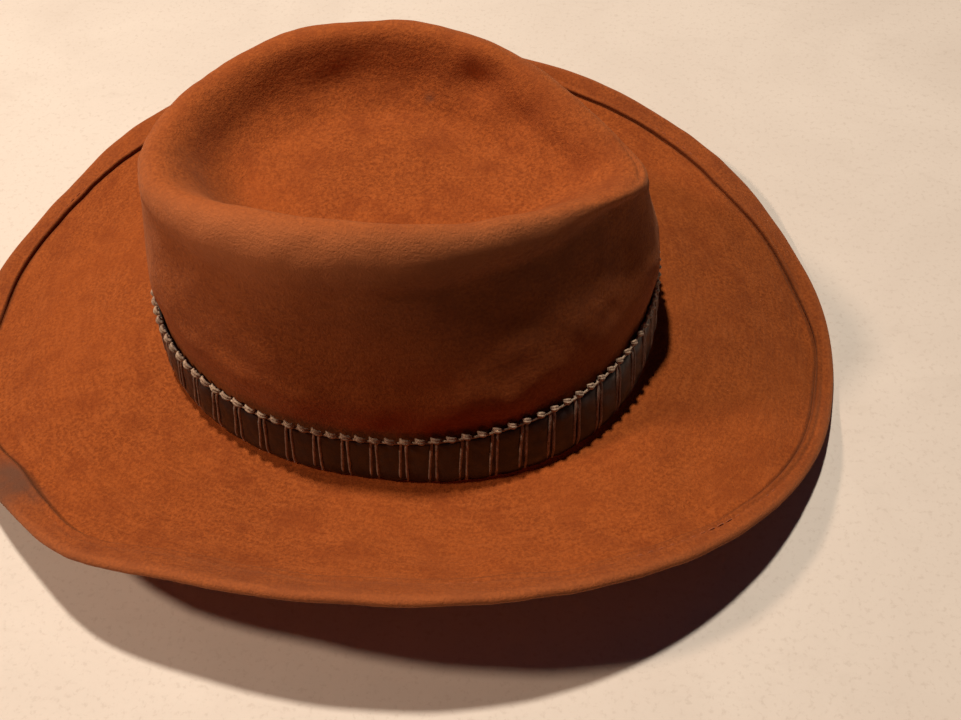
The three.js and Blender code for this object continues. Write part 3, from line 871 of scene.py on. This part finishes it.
def hatband_braid():
    """The thread knots along the strap's upper edge: two to a panel, each of three strands."""
    rng = np.random.default_rng(11)
    bundle = Bundle()
    knots = 2 * PANELS
    u = np.linspace(-1, 1, 11)
    swell = np.sqrt(np.clip(1 - u**2 * 0.94, 0, 1))
    along = u * 1.6
    for i in range(knots):
        middle = (i + 0.3) * TAU / knots
        reach = float(np.hypot(*base_outline(middle)))
        tone, tilt = rng.uniform(0, 1), -0.5 + rng.normal(0, 0.08)
        for k in (-1, 0, 1):
            height = BAND_TOP + 1.55 + k * 0.8 * swell + tilt * along
            distance = BAND_OUT - 1.5 + (1.95 - 0.5 * abs(k)) * swell
            path = off_wall(middle + along / reach, height, distance)
            bundle.tube(path, 0.16 + 0.48 * swell, 8, value=tone)
    # A thin cord lies under the knots, behind them.
    t = np.linspace(0, TAU, 361)
    wobble = 0.12 * np.sin(t * knots)
    bundle.tube(off_wall(t, BAND_TOP + 0.35 + wobble, BAND_OUT - 0.75), 0.5, 8)
    thing = bundle.build("hatband_edge_braid")
    return place(thing, BAND, "waxed_thread", LACE_FINISH, "hatband_lacing")


def hatband_tab():
    """The stitched tab over the joint of the strap's ends, a little domed, with rounded corners."""
    inner = BAND_OUT + GAP
    u = np.linspace(-1, 1, 33)[:, None]
    v = np.linspace(-1, 1, 25)[None]
    # Squircle mapping rounds the corners of the plate.
    x = u * np.sqrt(1 - 0.16 * v**8)
    y = v * np.sqrt(1 - 0.16 * u**8)
    from_middle = np.maximum(np.abs(u), np.abs(v))
    rim = smooth((1 - from_middle) / 0.12)
    groove = bump_at(from_middle, 0.8, 0.035)
    t = LEFT + x * TAB_HALF_TURN
    h = mix(BAND_BOTTOM + 1, BAND_TOP - 1, (y + 1) / 2)
    front = off_wall(t, h, inner + TAB_THICK * (0.35 + 0.65 * rim) - 0.2 * groove)
    points, faces = plate(front, off_wall(t, h, inner))
    thing = make_object("hatband_joint_cover", points, faces.tolist())
    place(thing, BAND, "band_leather", BAND_FINISH, "hatband_joint_tab")
    bundle = Bundle()
    per_side, low, high = 7, BAND_BOTTOM + 3.4, BAND_TOP - 3.4
    for side in (-1, 1):
        for k in range(per_side):
            h = mix(low, high, (k + np.linspace(0.2, 0.8, 5)) / per_side)
            t = LEFT + side * TAB_HALF_TURN * 0.8
            bundle.tube(off_wall(t, h, inner + TAB_THICK + 0.02), 0.28, 6)
    return place(bundle.build("hatband_joint_stitches"), BAND, "waxed_thread", WRAP_FINISH)


# ---- Inside the crown ----
LINING_OUT = -(FELT + LINING_GAP)
LINING_IN = LINING_OUT - LINING_THICK
SWEAT_OUT = LINING_IN - GAP
SWEAT_IN = SWEAT_OUT - SWEAT_THICK
SEW_LINE = 4  # height of the sweatband's stitches
TIP_HEIGHT = CREST_HEIGHT - DISH_DEPTH - FELT - 3
TIP_INSET = 9.5


def sweatband():
    """The leather band inside the crown, with a rolled upper edge and a seam at the back."""
    t = angles(420)
    low, high = SWEAT_LOW, SWEAT_HEIGHT
    sag = 0.45 * waves(point(90 * np.cos(t), 90 * np.sin(t), 0 * t), 60, 41)
    seam = 0.5 * bump_at(turn_from(t, BACK), 0, 0.012)
    rows = []
    for v in np.linspace(0, 1, 18):
        rows.append(off_wall(t, mix(low, high, v), SWEAT_OUT))
    for v in np.linspace(0.15, 0.85, 4):
        height = high + 0.3 * math.sin(v * math.pi)
        rows.append(off_wall(t, height, mix(SWEAT_OUT, SWEAT_IN, v)))
    for v in np.linspace(1, 0, 26):
        height = mix(low, high, v)
        press = 0.35 * bump_at(height, SEW_LINE, 0.8)
        loose = np.abs(sag * math.sin(v * math.pi) * 0.6)
        rows.append(off_wall(t, height, SWEAT_IN + press - seam - loose))
    thing = ring_object("sweatband_leather", np.array(rows))
    return place(thing, BODY, "sweat_leather", SWEAT_FINISH, "sweatband")


def sweatband_stitches():
    def line(t, rise):
        return off_wall(t, SEW_LINE, SWEAT_IN + 0.25 - rise)

    stitches = stitch_row(line, count=150, length=0.68, lift=0.3, radius=0.28)
    thing = stitches.build("sweatband_stitches")
    return place(thing, BODY, "welt_thread", SEW_FINISH, "sweatband_stitching")


def reed():
    """The plastic reed under the sweatband's lower edge, and the tape bound round it."""
    t = angles(300)
    middle = (SWEAT_OUT + SWEAT_IN) / 2

    def round_reed(turn, radius):
        height = REED_HEIGHT + radius * math.cos(turn)
        return off_wall(t, height, middle + radius * math.sin(turn))

    rows = [round_reed(k, REED_RADIUS) for k in angles(10)]
    strip = ring_object("sweatband_reed_strip", np.array(rows))
    place(strip, BODY, "reed", REED_FINISH, "sweatband_reed")
    inner = REED_RADIUS + GAP
    outer = inner + BINDING_THICK + 0.06 * np.sin(t * 150)
    turns = np.radians(np.linspace(50, 310, 18))
    rows = [round_reed(k, inner) for k in turns] + [round_reed(k, outer) for k in turns[::-1]]
    thing = ring_object("reed_binding_tape", np.array(rows))
    return place(thing, BODY, "satin", SATIN_FINISH, "reed_binding")


def tip_rim(t, inset, lift=0.0):
    """The level line under the crown's dish where the lining's side and tip meet."""
    p = off_wall(t, TIP_HEIGHT - break_height(t), LINING_OUT - inset)
    p[..., 2] = TIP_HEIGHT + lift
    return p


def lining():
    t = angles(540)
    lining_side(t)
    lining_piping(t)
    lining_tip(t)


def lining_side(t):
    """The side piece, gathered towards the top, with a lip turned in at the tip's level."""
    spread = (TIP_HEIGHT - break_height(t) - SWEAT_HEIGHT) / (LINING_TOP - SWEAT_HEIGHT)
    gathers = np.abs(np.sin(t * 46 + 0.8 * np.sin(t * 7))) ** 1.5
    lip = LINING_TOP + 2
    # Nominal height and inset; above the sweatband the heights follow the crown's own height.
    profile = [(LINING_TUCK, 0), (34, 0), (42, 0), (50, 0), (58, 0), (66, 0), (LINING_TOP - 4, 0)]
    profile += [(LINING_TOP - 1, -0.6), (lip - 1.0, -2.2), (lip, -5)]
    outer, inner = [], []
    for h, inset in profile:
        height = SWEAT_HEIGHT + (h - SWEAT_HEIGHT) * spread if h > SWEAT_HEIGHT else h
        pull = -0.9 * gathers * smooth((h - 38) / 30)
        distance = LINING_OUT + inset + pull
        outer.append(off_wall(t, height, distance))
        inner.append(off_wall(t, height - 0.3 * (inset < 0), distance - LINING_THICK))
    side = ring_object("lining_side_satin", np.array(outer + inner[::-1]))
    place(side, BODY, "satin", SATIN_FINISH, "lining_side")


def lining_piping(t):
    """The twisted cord between the lining's side and its tip."""
    middle_inset = TIP_INSET - PIPING_RADIUS - GAP
    radius = PIPING_RADIUS + 0.1 * np.sin(t * 160)
    turns = angles(10)
    rows = [tip_rim(t, middle_inset + radius * math.cos(k), radius * math.sin(k)) for k in turns]
    strands = {"strand": np.zeros(len(turns) * len(t))}
    piping = ring_object("lining_piping_cord", np.array(rows), strands)
    place(piping, BODY, "waxed_thread", WRAP_FINISH, "lining_piping")


def lining_tip(t):
    """The oval piece over the head, which sags a little and puckers at its rim."""
    sag = 2.5
    thick = np.array([0, 0, LINING_THICK])
    centre = np.array([TOP_X, 0, TIP_HEIGHT - sag])
    rim = tip_rim(t, TIP_INSET + GAP)
    upper, lower = [], []
    for share in np.linspace(0.08, 1, 20):
        p = mix(centre, rim, share)
        pucker = 0.25 * np.sin(t * 40) * share**6
        p[..., 2] = TIP_HEIGHT - sag * (1 - share * share) + pucker
        lower.append(p)
        upper.append(p + thick)
    rows = np.array(upper + lower[::-1])
    tip = shell_object("lining_tip_satin", rows, centre + thick, centre)
    place(tip, BODY, "satin", SATIN_FINISH, "lining_tip")


def bow():
    """A small ribbon bow at the back: two loops and a knot, pressed flat against the sweatband."""
    bundle = Bundle()
    reach = BASE_LENGTH - FELT
    front = SWEAT_IN - 2 * GAP

    def at(x, y, depth):
        return off_wall(BACK - x / reach, BOW_HEIGHT + y, front - depth)

    v = np.linspace(-1, 1, 13)[None]
    for side in (-1, 1):
        u = np.linspace(0.02, 1, 22)[:, None]
        half = 1.3 + 3.9 * np.sin(np.clip(u, 0, 1) * math.pi * 0.62)
        x = side * (1.2 + 12.4 * u)
        y = v * half * (1 - 0.12 * v**2)
        pleat = 0.16 * np.cos(v * 9) * (1 - u)
        puff = 0.95 * np.sin(np.clip(u * 1.02, 0, 1) * math.pi) ** 0.6 * (1 - v**2 * 0.7)
        points, faces = plate(at(x, y, 0.55 + puff + pleat), at(x, y, 0.02 * v))
        bundle.add(points, faces)
    k = np.linspace(-1, 1, 13)
    knot = at(0 * k, k * 2.6, 0.75 + 0.7 * np.cos(k * 1.4))
    bundle.tube(knot, 1.55 * np.sqrt(1.02 - k**2 * 0.75), 14, flat=0.62)
    thing = bundle.build("sweatband_ribbon_bow")
    return place(thing, BODY, "satin", SATIN_FINISH, "sweatband_bow")


def size_label():
    """A blank label on the sweatband near the back, its upper edge curled off the leather."""
    t = np.linspace(BACK - 0.42, BACK - 0.27, 24)[:, None]
    h = np.linspace(LABEL_LOW, LABEL_HIGH, 16)[None]
    most_curl = 0.0875
    curl = most_curl * ((h - LABEL_LOW) / (LABEL_HIGH - LABEL_LOW)) ** 3
    near = off_wall(t, h, SWEAT_IN - GAP - LABEL_THICK - curl)
    points, faces = plate(near, off_wall(t, h, SWEAT_IN - GAP))
    thing = make_object("size_label_blank", points, faces.tolist())
    return place(thing, BODY, "label", LABEL_FINISH, "size_label")


# ---- Stage ----
def camera():
    """Looks down at the near side of the hat from its wearer's right; lengths are in metres."""
    elevation, azimuth, roll = math.radians(53.9), math.radians(8.0), math.radians(-2.5)
    distance = 0.4656
    target = Vector((0.0394, -0.006, -0.0139))
    flat = math.cos(elevation)
    back = Vector((math.sin(azimuth) * flat, -math.cos(azimuth) * flat, math.sin(elevation)))
    right = (-back).cross(Vector((0, 0, 1))).normalized()
    up = back.cross(right)
    cos_roll, sin_roll = math.cos(roll), math.sin(roll)
    right, up = right * cos_roll + up * sin_roll, up * cos_roll - right * sin_roll
    data = bpy.data.cameras.new("camera")
    data.sensor_width, data.lens = 36, 37.9
    data.clip_start = 0.01
    thing = bpy.data.objects.new("camera", data)
    turn = Matrix((right, up, back)).transposed().to_4x4()
    thing.matrix_world = Matrix.Translation(target + distance * back) @ turn
    bpy.context.scene.collection.objects.link(thing)
    bpy.context.scene.camera = thing


def lamp(name, azimuth, elevation, distance, size, power, colour):
    """A round lamp aimed at the table under the middle of the hat: degrees, metres and watts."""
    a, e = math.radians(azimuth), math.radians(elevation)
    way = Vector((math.cos(a) * math.cos(e), math.sin(a) * math.cos(e), math.sin(e)))
    data = bpy.data.lights.new(name, "AREA")
    data.shape, data.size, data.energy, data.color = "DISK", size, power, colour
    thing = bpy.data.objects.new(name, data)
    aim = way.to_track_quat("Z", "Y").to_matrix().to_4x4()
    thing.matrix_world = Matrix.Translation(way * distance) @ aim
    bpy.context.scene.collection.objects.link(thing)


def stage():
    warm, warmer, dusk = (1.0, 0.85, 0.69), (1.0, 0.70, 0.50), (0.62, 0.37, 0.50, 1)
    lamp("key_light", 119.5, 73.6, distance=1.58, size=0.09, power=20.5, colour=warm)
    lamp("second_light", -173, 47.3, distance=1.6, size=0.14, power=10.6, colour=warmer)
    world = bpy.data.worlds.new("world")
    world.use_nodes = True
    background = world.node_tree.nodes["Background"]
    background.inputs["Color"].default_value = dusk
    background.inputs["Strength"].default_value = 0.028
    bpy.context.scene.world = world
    bpy.context.scene.view_settings.view_transform = "Standard"
    half = 1500  # of the table's side, in millimetres
    corners = [(-half, -half, 0), (half, -half, 0), (half, half, 0), (-half, half, 0)]
    table = make_object("table_top", np.array(corners, float), [[0, 1, 2, 3]])
    table.data.materials.append(table_material())


camera()
stage()
felt_body()
welt_stitching()
hatband_strap()
hatband_wraps()
hatband_braid()
hatband_tab()
sweatband()
sweatband_stitches()
reed()
lining()
bow()
size_label()
